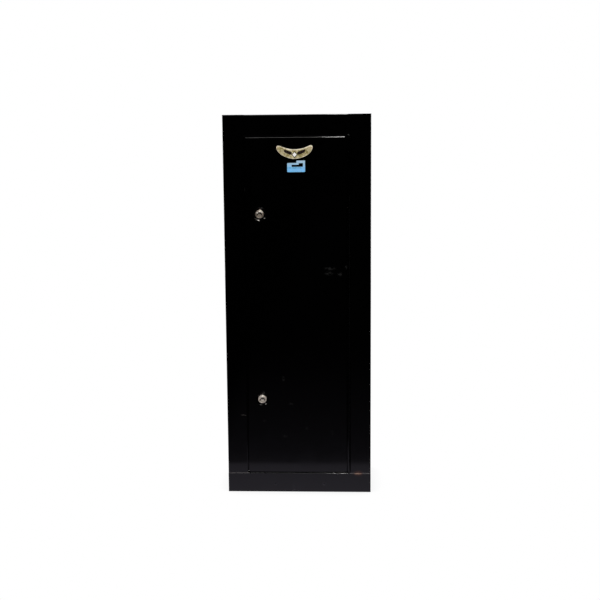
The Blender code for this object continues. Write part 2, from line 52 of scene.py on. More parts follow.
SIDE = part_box("right_side_panel")[1].x  # the outside of the right panel
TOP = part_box("top_panel")[1].z
DOOR_LOW, DOOR_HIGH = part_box("door_skin")
REVEAL = 0.003  # the gap round the door
SILL_TOP = DOOR_LOW.z - REVEAL - 0.001  # the sill plate's upper edge
MM = 0.001
LOCKS = ("upper_lock", "lower_lock")
FOLD_DEGREES = 32  # a CAD edge that turns by more than this stays sharp
SHARP_DEGREES = 35  # the same for an edge of a piece made here
WELD_REACH = 0.002 * MM


def lock_centre(lock):
    """Where the lock's axis meets the plane of the door's face."""
    middle = JOINTS[lock + "_turn"]["pos_m"]
    return Vector((middle[0], FRONT, middle[2]))


HEAD_DEPTH = 40  # how deep a spot on a lock's head reaches, in mm
COLLAR_DEPTH = 30


def lock_spot(lock, right, up, width, height, edge, depth=HEAD_DEPTH):
    """A spot for Finish.spot on a lock: its place from the lock's axis and its radii, in mm."""
    centre = lock_centre(lock) + Vector((right, 0, up)) * MM
    return (centre, (width * MM, depth * MM, height * MM), edge)


# Helpers for materials


class Graph:
    """A node tree, built a node at a time."""

    def __init__(self, tree):
        self.tree = tree
        tree.nodes.clear()

    def node(self, kind, inputs=None, **settings):
        """A new node. Each input is given a constant or linked to another node's output."""
        made = self.tree.nodes.new(kind)
        for setting, value in settings.items():
            setattr(made, setting, value)
        for key, value in (inputs or {}).items():
            if isinstance(value, bpy.types.NodeSocket):
                self.tree.links.new(value, made.inputs[key])
            else:
                made.inputs[key].default_value = value
        return made

    def math(self, operation, a, b=0.0):
        return self.node("ShaderNodeMath", {0: a, 1: b}, operation=operation).outputs[0]

    def both(self, a, b):
        return self.math("MULTIPLY", a, b)

    def most(self, a, b):
        return self.math("MAXIMUM", a, b)

    def vector(self, operation, a, b=(0, 0, 0)):
        return self.node("ShaderNodeVectorMath", {0: a, 1: b}, operation=operation)

    def ease(self, value, start, end, low=0.0, high=1.0, curve="SMOOTHSTEP"):
        """The value carried from start..end to low..high, and held there outside."""
        inputs = {"Value": value, "From Min": start, "From Max": end, "To Min": low, "To Max": high}
        return self.node("ShaderNodeMapRange", inputs, interpolation_type=curve).outputs[0]

    def ramp(self, value, start, end, low, high):
        """As ease, but along a straight line."""
        return self.ease(value, start, end, low, high, "LINEAR")

    def blend(self, share, a, b):
        """Colour a carried over to colour b by the share."""
        made = self.node("ShaderNodeMix", {"Factor": share}, data_type="RGBA")
        for name, value in (("A", a), ("B", b)):
            socket = [s for s in made.inputs if s.name == name and s.type == "RGBA"][0]
            if isinstance(value, bpy.types.NodeSocket):
                self.tree.links.new(value, socket)
            else:
                socket.default_value = (*value, 1)
        return [s for s in made.outputs if s.type == "RGBA"][0]

    def split_for_camera(self, output, seen, other):
        """Shows one shader to the camera and the other to every reflected or scattered ray."""
        path = self.node("ShaderNodeLightPath").outputs["Is Camera Ray"]
        mix = self.node("ShaderNodeMixShader", {0: path, 1: other.outputs[0], 2: seen.outputs[0]})
        self.node(output, {"Surface": mix.outputs[0]})


class Finish(Graph):
    """A procedural material round one Principled shader, in the object's own space."""

    def __init__(self, name, **sockets):
        self.material = bpy.data.materials.new(name)
        self.material.use_nodes = True
        super().__init__(self.material.node_tree)
        values = {socket.replace("_", " "): value for socket, value in sockets.items()}
        self.shader = self.node("ShaderNodeBsdfPrincipled", values)
        self.node("ShaderNodeOutputMaterial", {"Surface": self.shader.outputs[0]})
        self.place = self.node("ShaderNodeTexCoord").outputs["Object"]

    def set(self, socket, value):
        self.tree.links.new(value, self.shader.inputs[socket])

    def axis(self, letter):
        return self.node("ShaderNodeSeparateXYZ", {0: self.place}).outputs[letter]

    def noise(self, scale, detail=3.0, roughness=0.55, stretch=(1, 1, 1)):
        place = self.vector("MULTIPLY", self.place, stretch).outputs[0]
        inputs = {"Vector": place, "Scale": scale, "Detail": detail, "Roughness": roughness}
        return self.node("ShaderNodeTexNoise", inputs).outputs[0]

    def cells(self, scale, feature="F1"):
        inputs = {"Vector": self.place, "Scale": scale}
        return self.node("ShaderNodeTexVoronoi", inputs, feature=feature).outputs["Distance"]

    def spot(self, centre, radii, edge=0.5):
        """1 inside an ellipsoid, falling to 0 at its surface."""
        away = self.vector("SUBTRACT", self.place, centre).outputs[0]
        away = self.vector("DIVIDE", away, radii).outputs[0]
        return self.ease(self.vector("LENGTH", away).outputs["Value"], edge, 1.0, 1.0, 0.0)

    def spots(self, places):
        total = self.spot(*places[0])
        for place in places[1:]:
            total = self.most(total, self.spot(*place))
        return total

    def bump(self, height, distance, strength=1.0, after=None):
        inputs = {"Height": height, "Distance": distance, "Strength": strength}
        if after is not None:
            inputs["Normal"] = after
        return self.node("ShaderNodeBump", inputs).outputs[0]


# Helpers for shapes


def placed(name, data):
    """A new object in the scene."""
    obj = bpy.data.objects.new(name, data)
    bpy.context.scene.collection.objects.link(obj)
    return obj


def smoothing_group():
    """Geometry nodes that shade a CAD solid smooth, apart from its sharper folds."""
    group = bpy.data.node_groups.new("smooth_shading", "GeometryNodeTree")
    for way in ("INPUT", "OUTPUT"):
        group.interface.new_socket("Geometry", in_out=way, socket_type="NodeSocketGeometry")
    g = Graph(group)
    start = g.node("NodeGroupInput").outputs[0]
    bare = g.node("GeometryNodeRemoveAttribute", {0: start, "Name": "custom_normal"}).outputs[0]
    shade = "GeometryNodeSetShadeSmooth"
    faces = g.node(shade, {0: bare}, domain="FACE").outputs[0]
    angle = g.node("GeometryNodeInputMeshEdgeAngle").outputs["Unsigned Angle"]
    compare = {0: angle, 1: math.radians(FOLD_DEGREES)}
    gentle = g.node("FunctionNodeCompare", compare, operation="LESS_THAN").outputs[0]
    edges = g.node(shade, {0: faces, "Shade Smooth": gentle}, domain="EDGE").outputs[0]
    g.node("NodeGroupOutput", {0: edges})
    return group


SMOOTHING = smoothing_group()


def smooth_cad(obj):
    """Joins a CAD solid's facets and smooths its rounds, while its flat faces stay flat."""
    join = obj.modifiers.new("join", "WELD")
    join.merge_threshold = WELD_REACH
    shade = obj.modifiers.new("shade", "NODES")
    shade.node_group = SMOOTHING
    weigh = obj.modifiers.new("weigh", "WEIGHTED_NORMAL")
    weigh.mode = "FACE_AREA"
    weigh.weight = 100
    weigh.keep_sharp = True


def new_piece(name, bm, body, material, replaces=(), angle=SHARP_DEGREES):
    """A piece of the object, whose mesh is given in the frame's own coordinates."""
    bmesh.ops.recalc_face_normals(bm, faces=bm.faces)
    mesh = bpy.data.meshes.new(name)
    bm.to_mesh(mesh)
    bm.free()
    obj = placed(name, mesh)
    mesh.materials.append(material)
    mesh.shade_smooth()
    mesh.set_sharp_from_angle(angle=math.radians(angle))
    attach(obj, body)
    if replaces:
        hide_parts(*replaces)
    return obj


def lathe(bm, profile, centre, steps, closed=True):
    """Turns a profile of (radius, depth) round the line through centre along Y, onto the mesh."""
    rings = []
    for radius, depth in profile:
        if radius < 1e-7:
            rings.append([bm.verts.new((centre[0], centre[1] + depth, centre[2]))])
            continue
        ring = []
        for i in range(steps):
            turn = math.tau * i / steps
            x = centre[0] + radius * math.cos(turn)
            z = centre[2] + radius * math.sin(turn)
            ring.append(bm.verts.new((x, centre[1] + depth, z)))
        rings.append(ring)
    pairs = list(zip(rings, rings[1:]))
    if closed:
        pairs.append((rings[-1], rings[0]))
    for a, b in pairs:
        for i in range(steps):
            j = (i + 1) % steps
            corners = [a[i % len(a)], a[j % len(a)], b[j % len(b)], b[i % len(b)]]
            corners = list(dict.fromkeys(corners))
            if len(corners) > 2:
                bm.faces.new(corners)


def rounded(points, radius, steps=4):
    """The outline with each corner turned on a radius, as points (u, v)."""
    made = []
    for i, corner in enumerate(points):
        corner = Vector(corner)
        before = Vector(points[i - 1]) - corner
        after = Vector(points[(i + 1) % len(points)]) - corner
        reach = min(radius, before.length / 2.01, after.length / 2.01)
        start = corner + before.normalized() * reach
        end = corner + after.normalized() * reach
        for k in range(steps + 1):
            t = k / steps
            made.append(start * (1 - t) ** 2 + corner * 2 * t * (1 - t) + end * t**2)
    return made


def plate(bm, outline, front, back):
    """A flat plate between two depths."""
    rear, face = ([bm.verts.new((u, depth, v)) for u, v in outline] for depth in (back, front))
    for i in range(len(outline)):
        j = (i + 1) % len(outline)
        bm.faces.new((rear[i], rear[j], face[j], face[i]))
    bm.faces.new(face)
    bm.faces.new(rear[::-1])


# The paint, in layers. Each takes the colour below it, and most also give where they wear it.

MARK_DEPTH = 1.4 * MM  # so that a mark on the outside doesn't show on the inside of the sheet
SILL_FACE = FRONT - 1.3 * MM


def face_spot(x, z, width, height, edge, y=FRONT, depth=MARK_DEPTH):
    """A spot for Finish.spot on a front face, from its place and its radii across and up."""
    return ((x, y, z), (width, depth, height), edge)


def specks_and_paler_foot(f):
    """Black, paler and bluer towards the foot, with a few specks of dust."""
    specks = f.ease(f.cells(260.0), 0.028, 0.060, 1.0, 0.0)
    dust = f.both(specks, f.ease(f.noise(40.0, 1.0), 0.50, 0.62))
    paler_towards_foot = f.ease(f.axis("Z"), 0.0, 0.40, 1.0, 0.05)
    paler_towards_foot = f.both(paler_towards_foot, f.ease(f.noise(22.0, 5.0, 0.65), 0.30, 0.80))
    colour = f.blend(paler_towards_foot, (0.0001, 0.0001, 0.0001), (0.0013, 0.0012, 0.0018))
    return f.blend(f.both(dust, 0.22), colour, (0.05, 0.048, 0.045)), dust


def smeared(f, colour, broken):
    """Pale smears low on the door, and a drip high on its left side."""
    pale = f.spots(
        [
            face_spot(-0.1285, 0.2723, 0.0060, 0.0090, 0.2),
            face_spot(0.0293, 0.2461, 0.0070, 0.0080, 0.1),
            face_spot(0.1240, 0.2270, 0.0060, 0.0130, 0.2),
            face_spot(-0.0520, 0.2150, 0.0120, 0.0080, 0.1),
            face_spot(-0.0561, 0.4327, 0.0070, 0.0160, 0.2),
            face_spot(-0.0290, 0.3377, 0.0120, 0.0070, 0.1),
        ]
    )
    drip = f.spot(*face_spot(-0.1900, 1.1310, 0.0022, 0.0130, 0.3))
    uneven = f.ease(f.noise(170.0, 3.0), 0.42, 0.60)
    colour = f.blend(f.both(pale, uneven), colour, (0.009, 0.009, 0.009))
    colour = f.blend(f.both(drip, broken), colour, (0.030, 0.030, 0.030))
    return colour, f.both(f.most(drip, f.both(pale, 0.3)), broken)


def sill_dirt_and_rivet_highlight(f, colour):
    """Pale patches round the sill's two rivets, a painted highlight on and round the right rivet's
    head and dirt round the left one; dirt in a run down the sill, and at its foot.
    """
    rivets = [sum(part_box("sill_rivet_" + side), Vector()) / 2 for side in ("left", "right")]
    left, right = (f.spot(rivet, (0.0085, 0.006, 0.0085), 0.3) for rivet in rivets)
    run = f.spot(*face_spot(-0.0220, 0.0200, 0.0030, 0.0200, 0.4, y=SILL_FACE))
    foot = f.spot(*face_spot(-0.0200, 0.0062, 0.0080, 0.0050, 0.2, y=SILL_FACE))
    # The right rivet's patch, at full strength, is a painted highlight; the left one's, at half
    # strength, is dirt.
    dirt = f.most(right, f.both(left, 0.5))
    dirt = f.most(dirt, f.most(f.both(run, 0.3), foot))
    uneven = f.ease(f.noise(170.0, 3.0), 0.35, 0.60, 0.4, 1.0)
    return f.blend(f.both(dirt, uneven), colour, (0.019, 0.018, 0.022))


def scratched(f, colour, broken):
    """A level scratch low on the left stile."""
    scratch = f.both(f.spot(*face_spot(-0.2065, 0.2950, 0.0155, 0.0022, 0.2)), broken)
    return f.blend(scratch, colour, (0.050, 0.046, 0.042)), scratch


def scuffed(f, colour):
    """A rubbed patch near the hinge, in streaks that run across."""
    patch = f.spots(
        [
            face_spot(0.1175, 0.8440, 0.0270, 0.0095, 0.2),
            face_spot(0.1140, 0.8255, 0.0220, 0.0090, 0.2),
            face_spot(0.1541, 0.8226, 0.0115, 0.0100, 0.2),
            face_spot(0.1770, 0.8478, 0.0070, 0.0105, 0.2),
        ]
    )
    streaks = f.ease(f.noise(110.0, 3.0, 0.6, stretch=(0.6, 1, 1.8)), 0.40, 0.56)
    scuff = f.both(patch, streaks)
    return f.blend(f.both(scuff, 0.6), colour, (0.014, 0.014, 0.014)), scuff


def chipped(f, colour):
    """Chips along the cabinet's two upright front corners."""
    near_side = f.ease(f.math("ABSOLUTE", f.axis("X")), SIDE - 1.8 * MM, SIDE - 0.4 * MM)
    near_front = f.ease(f.axis("Y"), FRONT + 0.6 * MM, FRONT + 2.2 * MM, 1.0, 0.0)
    ragged = f.ease(f.noise(95.0, 4.0, 0.7, stretch=(1, 1, 0.45)), 0.60, 0.66)
    chips = f.both(f.both(near_side, near_front), ragged)
    return f.blend(chips, colour, (0.085, 0.080, 0.075)), chips


def ledge_wear_and_highlight(f, colour):
    """A pale line along the sill's upper edge, beside the door and under its right end: partly dust
    and worn paint, partly a painted highlight where the edge catches the light from above.
    """
    height = f.axis("Z")
    rim = f.ease(height, SILL_TOP - 2.6 * MM, SILL_TOP - 0.6 * MM)
    rim = f.both(rim, f.ease(height, SILL_TOP + 1.2 * MM, SILL_TOP + 2.0 * MM, 1.0, 0.0))
    rim = f.both(rim, f.ease(f.axis("Y"), FRONT + 1.0 * MM, FRONT + 3.0 * MM, 1.0, 0.0))
    across = f.axis("X")
    beside = f.ease(f.math("ABSOLUTE", across), DOOR_HIGH.x + 4 * MM, DOOR_HIGH.x + 12 * MM)
    # Under the door's right end the line is a painted highlight, and it is painted brighter towards
    # the right.
    ledge_dust_and_highlight = f.both(rim, f.most(beside, f.ease(across, 0.126, 0.152, 0.0, 0.62)))
    ledge_dust_and_highlight = f.both(ledge_dust_and_highlight, f.ease(across, -0.20, 0.20, 0.75, 1.0))
    return f.blend(ledge_dust_and_highlight, colour, (0.095, 0.090, 0.090))


def rust_and_edge_highlight(f, colour):
    """A rust spot on the sill's right end: a brown rust stain round a pale core, which is a painted
    highlight of the sill's upper edge.
    """
    grain = f.noise(180.0, 5.0, 0.7)
    z = SILL_TOP - 1 * MM
    stain = f.spot(*face_spot(0.2210, z, 0.0330, 0.0200, 0.0, depth=6 * MM))
    stain = f.ease(f.both(stain, grain), 0.10, 0.45)
    # The pale core is a painted highlight along the sill's upper edge.
    edge_highlight_core = f.spot(*face_spot(0.2190, z, 0.0230, 0.0036, 0.3, depth=6 * MM))
    edge_highlight_core = f.ease(f.both(edge_highlight_core, grain), 0.22, 0.46)
    colour = f.blend(f.both(stain, 0.8), colour, (0.042, 0.015, 0.009))
    return f.blend(edge_highlight_core, colour, (0.30, 0.19, 0.14)), edge_highlight_core


def make_paint():
    """Gloss black enamel on sheet steel, with the marks above laid over one another."""
    f = Finish("gloss_black_paint", IOR=1.5)
    broken = f.ease(f.noise(420.0, 2.0), 0.36, 0.56)  # breaks up the finest marks
    colour, dust = specks_and_paler_foot(f)
    colour, smears = smeared(f, colour, broken)
    colour = sill_dirt_and_rivet_highlight(f, colour)
    colour, scratch = scratched(f, colour, broken)
    colour, scuff = scuffed(f, colour)
    colour, chips = chipped(f, colour)
    colour = ledge_wear_and_highlight(f, colour)
    colour, rust_edge_highlight = rust_and_edge_highlight(f, colour)
    f.set("Base Color", colour)
    worn = f.most(f.most(chips, rust_edge_highlight), f.most(scratch, dust))
    worn = f.most(worn, smears)
    smudge = f.noise(9.0, 4.0, 0.6)
    wipe = f.noise(5.0, 3.0, 0.6, stretch=(1, 1, 0.25))
    rough = f.ease(f.both(smudge, wipe), 0.14, 0.42, 0.07, 0.13)
    rough = f.math("ADD", rough, f.both(worn, 0.45))
    rough = f.math("ADD", rough, f.both(scuff, 0.15))
    f.set("Roughness", rough)
    waves = f.noise(2.6, 2.0, 0.5, stretch=(1, 1, 0.8))
    ripple = f.noise(14.0, 2.0, 0.5, stretch=(0.35, 1, 1))
    peel = f.noise(420.0, 2.0, 0.5)
    normal = f.bump(waves, 0.0005)
    normal = f.bump(ripple, 0.00008, after=normal)
    normal = f.bump(peel, 0.0000035, after=normal)
    normal = f.bump(worn, 0.00010, strength=0.6, after=normal)
    f.set("Normal", normal)
    return f.material


# The other materials


def make_metal(name, base, dark, roughness, grime, grain_scale, metallic=1.0, wear_and_painted_light=()):
    """Plated metal with dull patches, scratches and dirt; at the given spots, pale painted
    highlights drawn as plating rubbed pale.
    """
    f = Finish(name, Metallic=metallic)
    patches = f.noise(grain_scale, 4.0, 0.6)
    dirt = f.ease(f.noise(grain_scale * 2.3, 5.0, 0.7), 0.52, 0.70)
    colour = f.blend(f.ease(patches, 0.35, 0.70), base, dark)
    colour = f.blend(f.both(dirt, grime), colour, (0.045, 0.030, 0.018))
    # Painted highlights: pale, less metallic patches where the head catches the light.
    if wear_and_painted_light:
        bare = f.both(f.spots(wear_and_painted_light), f.ease(f.noise(grain_scale * 1.6, 3.0), 0.25, 0.50))
        colour = f.blend(bare, colour, (0.93, 0.90, 0.86))
        f.set("Metallic", f.math("SUBTRACT", metallic, f.both(bare, metallic)))
    f.set("Base Color", colour)
    lines = f.noise(grain_scale * 5, 2.0, 0.6, stretch=(0.15, 1, 4))
    rough = f.ease(patches, 0.3, 0.75, roughness - 0.07, roughness + 0.10)
    rough = f.math("ADD", rough, f.both(dirt, 0.25))
    f.set("Roughness", rough)
    f.set("Normal", f.bump(lines, 0.00002, strength=0.5))
    return f.material


def make_collar_paint():
    """Gloss black collar with a dusty rim; pale patches low on the rim are worn paint and a painted
    sheen of its lower slope, and small pale spots at its foot are painted glints drawn as chips
    through to bare metal.
    """
    f = Finish("black_collar", IOR=1.22)
    grime = f.noise(160.0, 4.0, 0.6)
    colour = f.blend(f.ease(grime, 0.50, 0.75), (0.0004, 0.0004, 0.0005), (0.0030, 0.0026, 0.0022))
    # Painted glints on the rim, drawn as chips through to bare metal.
    painted_glints = [
        lock_spot("upper_lock", 18, -15.5, 2.6, 2.4, 0.4, COLLAR_DEPTH),
        lock_spot("upper_lock", -4, -22, 5.2, 2.6, 0.5, COLLAR_DEPTH),
        lock_spot("lower_lock", 13, -19.5, 2.6, 2.4, 0.5, COLLAR_DEPTH),
    ]
    # Worn paint and a painted sheen, low on the rim where it faces up to the light.
    wear_and_painted_light = f.spots(
        [
            lock_spot("upper_lock", -15, -17, 8, 5, 0.2, COLLAR_DEPTH),
            lock_spot("lower_lock", -6, -23, 11, 3.6, 0.2, COLLAR_DEPTH),
        ]
    )
    colour = f.blend(f.both(wear_and_painted_light, f.ease(grime, 0.35, 0.6)), colour, (0.030, 0.027, 0.024))
    ragged = f.ease(f.noise(330.0, 4.0, 0.7), 0.30, 0.46)
    colour = f.blend(f.both(f.spots(painted_glints), ragged), colour, (0.72, 0.70, 0.66))
    f.set("Base Color", colour)
    f.set("Roughness", f.ease(grime, 0.3, 0.8, 0.10, 0.24))
    f.set("Normal", f.bump(f.noise(900.0, 2.0), 0.000008))
    return f.material


def make_foam(name, colour, pale):
    """Open-cell foam with its pores painted darker as painted shade in their hollows, dust and
    pressed patches.
    """
    f = Finish(name, Roughness=0.95, IOR=1.3)
    pores = f.cells(620.0, "DISTANCE_TO_EDGE")
    pore = f.ease(pores, 0.02, 0.16)
    mottle = f.noise(45.0, 5.0, 0.65)
    tint = f.blend(f.ease(mottle, 0.35, 0.70), colour, pale)
    # Painted shade: darker inside each pore.
    tint = f.blend(f.both(pore, 0.6), tint, tuple(0.35 * c for c in colour))
    f.set("Base Color", tint)
    normal = f.bump(pore, 0.0005, strength=0.8)
    normal = f.bump(f.noise(260.0, 3.0), 0.0006, strength=0.5, after=normal)
    f.set("Normal", normal)
    return f.material


def make_gold_print():
    """Printed gold: cream where the tone is high, tan below that, and dark brown in the bars."""
    f = Finish("gold_print", Roughness=0.55, IOR=1.22)
    tone = f.node("ShaderNodeAttribute", attribute_name="tone").outputs["Fac"]
    grain = f.noise(130.0, 4.0, 0.65)
    fleck = f.noise(300.0, 3.0, 0.7)
    tan = f.blend(f.ease(grain, 0.42, 0.58), (0.42, 0.37, 0.23), (0.19, 0.155, 0.05))
    cream = f.blend(f.ease(grain, 0.46, 0.64), (0.66, 0.60, 0.48), (0.34, 0.29, 0.19))
    colour = f.blend(f.ease(tone, 0.05, 0.40), (0.0045, 0.0006, 0.0), tan)
    colour = f.blend(f.ease(tone, 0.50, 0.78), colour, cream)
    colour = f.blend(f.ease(tone, 0.85, 0.98), colour, (0.74, 0.74, 0.74))
    gilt = f.ease(tone, 0.15, 0.40)
    colour = f.blend(f.both(gilt, f.ease(fleck, 0.56, 0.66, 0.0, 0.6)), colour, (0.10, 0.07, 0.03))
    worn = f.ease(f.noise(95.0, 4.0, 0.7), 0.64, 0.72)
    colour = f.blend(f.both(gilt, f.both(worn, 0.8)), colour, (0.02, 0.014, 0.010))
    f.set("Base Color", colour)
    f.set("Normal", f.bump(grain, 0.00003))
    return f.material


def make_label_print(low, high):
    """Pale blue print that deepens towards the foot, with a darker stripe and worn patches."""
    f = Finish("blue_print", Roughness=0.38, IOR=1.45)
    height = f.axis("Z")
    down = f.ease(height, low, high, 1.0, 0.0)
    colour = f.blend(down, (0.30, 0.42, 0.53), (0.12, 0.40, 0.72))
    stripe = low + 0.36 * (high - low)
    away = f.math("ABSOLUTE", f.math("SUBTRACT", height, stripe))
    band = f.ease(away, 1.5 * MM, 3.2 * MM, 1.0, 0.0)
    streak = f.ease(f.noise(170.0, 3.0, 0.6, stretch=(0.8, 1, 1)), 0.30, 0.50)
    colour = f.blend(f.both(f.both(band, streak), 0.9), colour, (0.02, 0.25, 0.50))
    patches = f.ease(f.noise(150.0, 4.0, 0.7), 0.40, 0.66)
    colour = f.blend(f.both(patches, 0.45), colour, (0.26, 0.46, 0.68))
    worn = f.ease(f.noise(190.0, 5.0, 0.7), 0.62, 0.72)
    colour = f.blend(f.both(worn, 0.7), colour, (0.03, 0.07, 0.10))
    f.set("Base Color", colour)
    f.set("Normal", f.bump(f.noise(700.0, 3.0), 0.00002))
    return f.material


PAINT = make_paint()
COLLAR = make_collar_paint()
# Painted highlights on the lock heads, where the rim catches the light from above.
UPPER_HEAD_HIGHLIGHTS = [
    lock_spot("upper_lock", 1.6, 10.6, 6.0, 3.8, 0.2),
    lock_spot("upper_lock", 9.0, 7.0, 4.5, 4.5, 0.0),
    lock_spot("upper_lock", -7.8, 5.6, 4.6, 3.6, 0.2),
]
LOWER_HEAD_HIGHLIGHTS = [lock_spot("lower_lock", 0.5, 10.2, 7.0, 4.2, 0.1)]
NICKEL_GRAIN = 220.0
# One nickel in a shaded and a lit copy: painted darker for the upper lock, and lighter and less
# metallic for the lower lock, as painted shade and light.
UPPER_NICKEL_SHADED = make_metal(
    "upper_nickel_painted_darker",
    base=(0.42, 0.36, 0.31),
    dark=(0.20, 0.16, 0.12),
    roughness=0.34,
    grime=0.6,
    grain_scale=NICKEL_GRAIN,
    metallic=0.7,
    wear_and_painted_light=UPPER_HEAD_HIGHLIGHTS,
)
LOWER_NICKEL_LIT = make_metal(
    "lower_nickel_painted_lighter",
    base=(0.85, 0.78, 0.71),
    dark=(0.48, 0.41, 0.34),
    roughness=0.42,
    grime=0.4,
    grain_scale=NICKEL_GRAIN,
    metallic=0.45,
    wear_and_painted_light=LOWER_HEAD_HIGHLIGHTS,
)
# Near black, as painted shade in the keyway, with grease.
KEYWAY_SHADE = make_metal("keyway_painted_shade", (0.012, 0.007, 0.005), (0.004, 0.003, 0.002), 0.60, 0.2, 300.0)
ZINC = make_metal("zinc_plate", (0.62, 0.63, 0.60), (0.40, 0.42, 0.42), 0.34, 0.35, 130.0)
REST_FOAM = make_foam("rest_foam_cells", (0.030, 0.031, 0.034), (0.060, 0.060, 0.064))
FLOOR_FOAM = make_foam("floor_foam_cells", (0.030, 0.031, 0.034), (0.066, 0.064, 0.062))
GOLD = make_gold_print()

CAD_FINISHES = {"paint": PAINT, "collar": COLLAR, "nickel": UPPER_NICKEL_SHADED, "zinc": ZINC}


def finish_cad_nodes():
    """Gives each CAD node its material, smooth rounds, and a small bevel if it is plated."""
    for obj in NODES.values():
        slot_name = obj.material_slots[0].material.name.split(".")[0]
        obj.material_slots[0].material = CAD_FINISHES.get(slot_name, PAINT)
        smooth_cad(obj)
        if slot_name == "zinc":
            edge = obj.modifiers.new("edge", "BEVEL")
            edge.width = 0.15 * MM
            edge.segments = 2
            edge.limit_method = "ANGLE"
            edge.angle_limit = math.radians(50)


def combine(obj, operation, others):
    """Adds each bmesh to the object, or cuts it out, for good."""
    for bm in others:
        bmesh.ops.recalc_face_normals(bm, faces=bm.faces)
        mesh = bpy.data.meshes.new("tool")
        bm.to_mesh(mesh)
        bm.free()
        tool = placed("tool", mesh)
        cutting = obj.modifiers.new("cut", "BOOLEAN")
        cutting.operation = operation
        cutting.solver = "EXACT"
        cutting.object = tool
        graph = bpy.context.evaluated_depsgraph_get()
        result = bpy.data.meshes.new_from_object(obj.evaluated_get(graph))
        obj.modifiers.remove(cutting)
        old = obj.data
        obj.data = result
        result.name = old.name
        bpy.data.meshes.remove(old)
        bpy.data.objects.remove(tool)
        bpy.data.meshes.remove(mesh)
    obj.data.shade_smooth()
    obj.data.set_sharp_from_angle(angle=math.radians(SHARP_DEGREES))


def block(centre, low, high):
    """A box as a bmesh, between two corners measured from centre."""
    bm = bmesh.new()
    bmesh.ops.create_cube(bm, size=1.0)
    low = Vector(low)
    high = Vector(high)
    for v in bm.verts:
        share = v.co + Vector((0.5, 0.5, 0.5))
        v.co = Vector(centre) + low + Vector(a * b for a, b in zip(share, high - low))
    return bm


def prism(outline, front, back):
    """A plate as a bmesh of its own."""
    bm = bmesh.new()
    plate(bm, outline, front, back)
    return bm


def rod(centre, radius, front, back, steps):
    """A cylinder along Y as a bmesh, between two depths measured from centre."""
    bm = bmesh.new()
    lathe(bm, [(0, front), (radius, front), (radius, back), (0, back)], centre, steps, closed=False)
    return bm


def mm(*pairs):
    """Pairs given in millimetres, in metres."""
    return [(a * MM, b * MM) for a, b in pairs]


# Locks

KEY_PATH = mm((-8.9, -3.8), (-1.0, 5.8), (2.0, 1.0), (6.0, 4.9), (8.9, -3.6))
KEY_WIDTH = 3.7 * MM
KEY_DEPTH = 2.5 * MM

# Lock profiles are (radius, depth) in mm, and a depth behind the door's face is positive.
DIAL_FACE = -6.7
LOCK_STEPS = 96


def make_collar(lock, centre):
    """The black ring round the head, which lies on the door."""
    profile = mm(
        (16.0, -0.3),
        (24.2, -0.3),
        (24.5, -0.8),
        (24.5, -2.2),
        (24.3, -2.9),
        (23.9, -3.35),
        (23.3, -3.58),
        (22.7, -3.5),
        (22.2, -3.1),
        (21.6, -2.5),
        (20.6, -2.05),
        (19.2, -1.75),
        (17.6, -1.6),
        (16.4, -1.5),
        (16.0, -1.2),
    )
    bm = bmesh.new()
    lathe(bm, profile, centre, LOCK_STEPS)
    return new_piece(lock + "_collar_ring", bm, "door", COLLAR, [lock + "_collar"])


def make_housing(lock, centre, metal):
    """The plated head with its raised rim, and the threaded barrel that runs back from it."""
    root, crest, pitch = 8.85, 9.4, 1.0
    barrel_start, barrel_end = 1.4, 20.8
    head = mm(
        (7.35, -3.2),
        (12.2, -3.2),
        (12.2, -6.1),
        (12.3, -6.5),
        (12.6, -6.8),
        (13.1, -7.0),
        (13.7, -6.95),
        (14.4, -6.65),
        (15.0, -6.1),
        (15.4, -5.3),
        (15.5, -4.4),
        (15.45, -1.0),
        (15.2, -0.4),
        (crest, -0.3),
        (crest, barrel_start),
    )
    thread = []
    depth = barrel_start
    while depth + pitch < barrel_end - 0.4:
        thread += [(root, depth + 0.35), (root, depth + 0.50)]
        thread += [(crest, depth + 0.85), (crest, depth + pitch)]
        depth += pitch
    tail = [(9.0, barrel_end - 0.3), (8.7, barrel_end), (7.35, barrel_end)]
    bm = bmesh.new()
    lathe(bm, head + mm(*thread, *tail), centre, LOCK_STEPS)
    name = lock + "_housing_turned"
    housing = new_piece(name, bm, "door", metal, [lock + "_housing"])
    tip = rounded(mm((-2.9, 13.6), (4.3, 13.6), (2.4, 17.3), (0.9, 18.8), (-0.7, 17.0)), 0.8 * MM)
    tip = [(centre[0] + u, centre[2] + v) for u, v in tip]
    combine(housing, "UNION", [prism(tip, centre[1] - 5.9 * MM, centre[1] - 2.4 * MM)])
    return housing


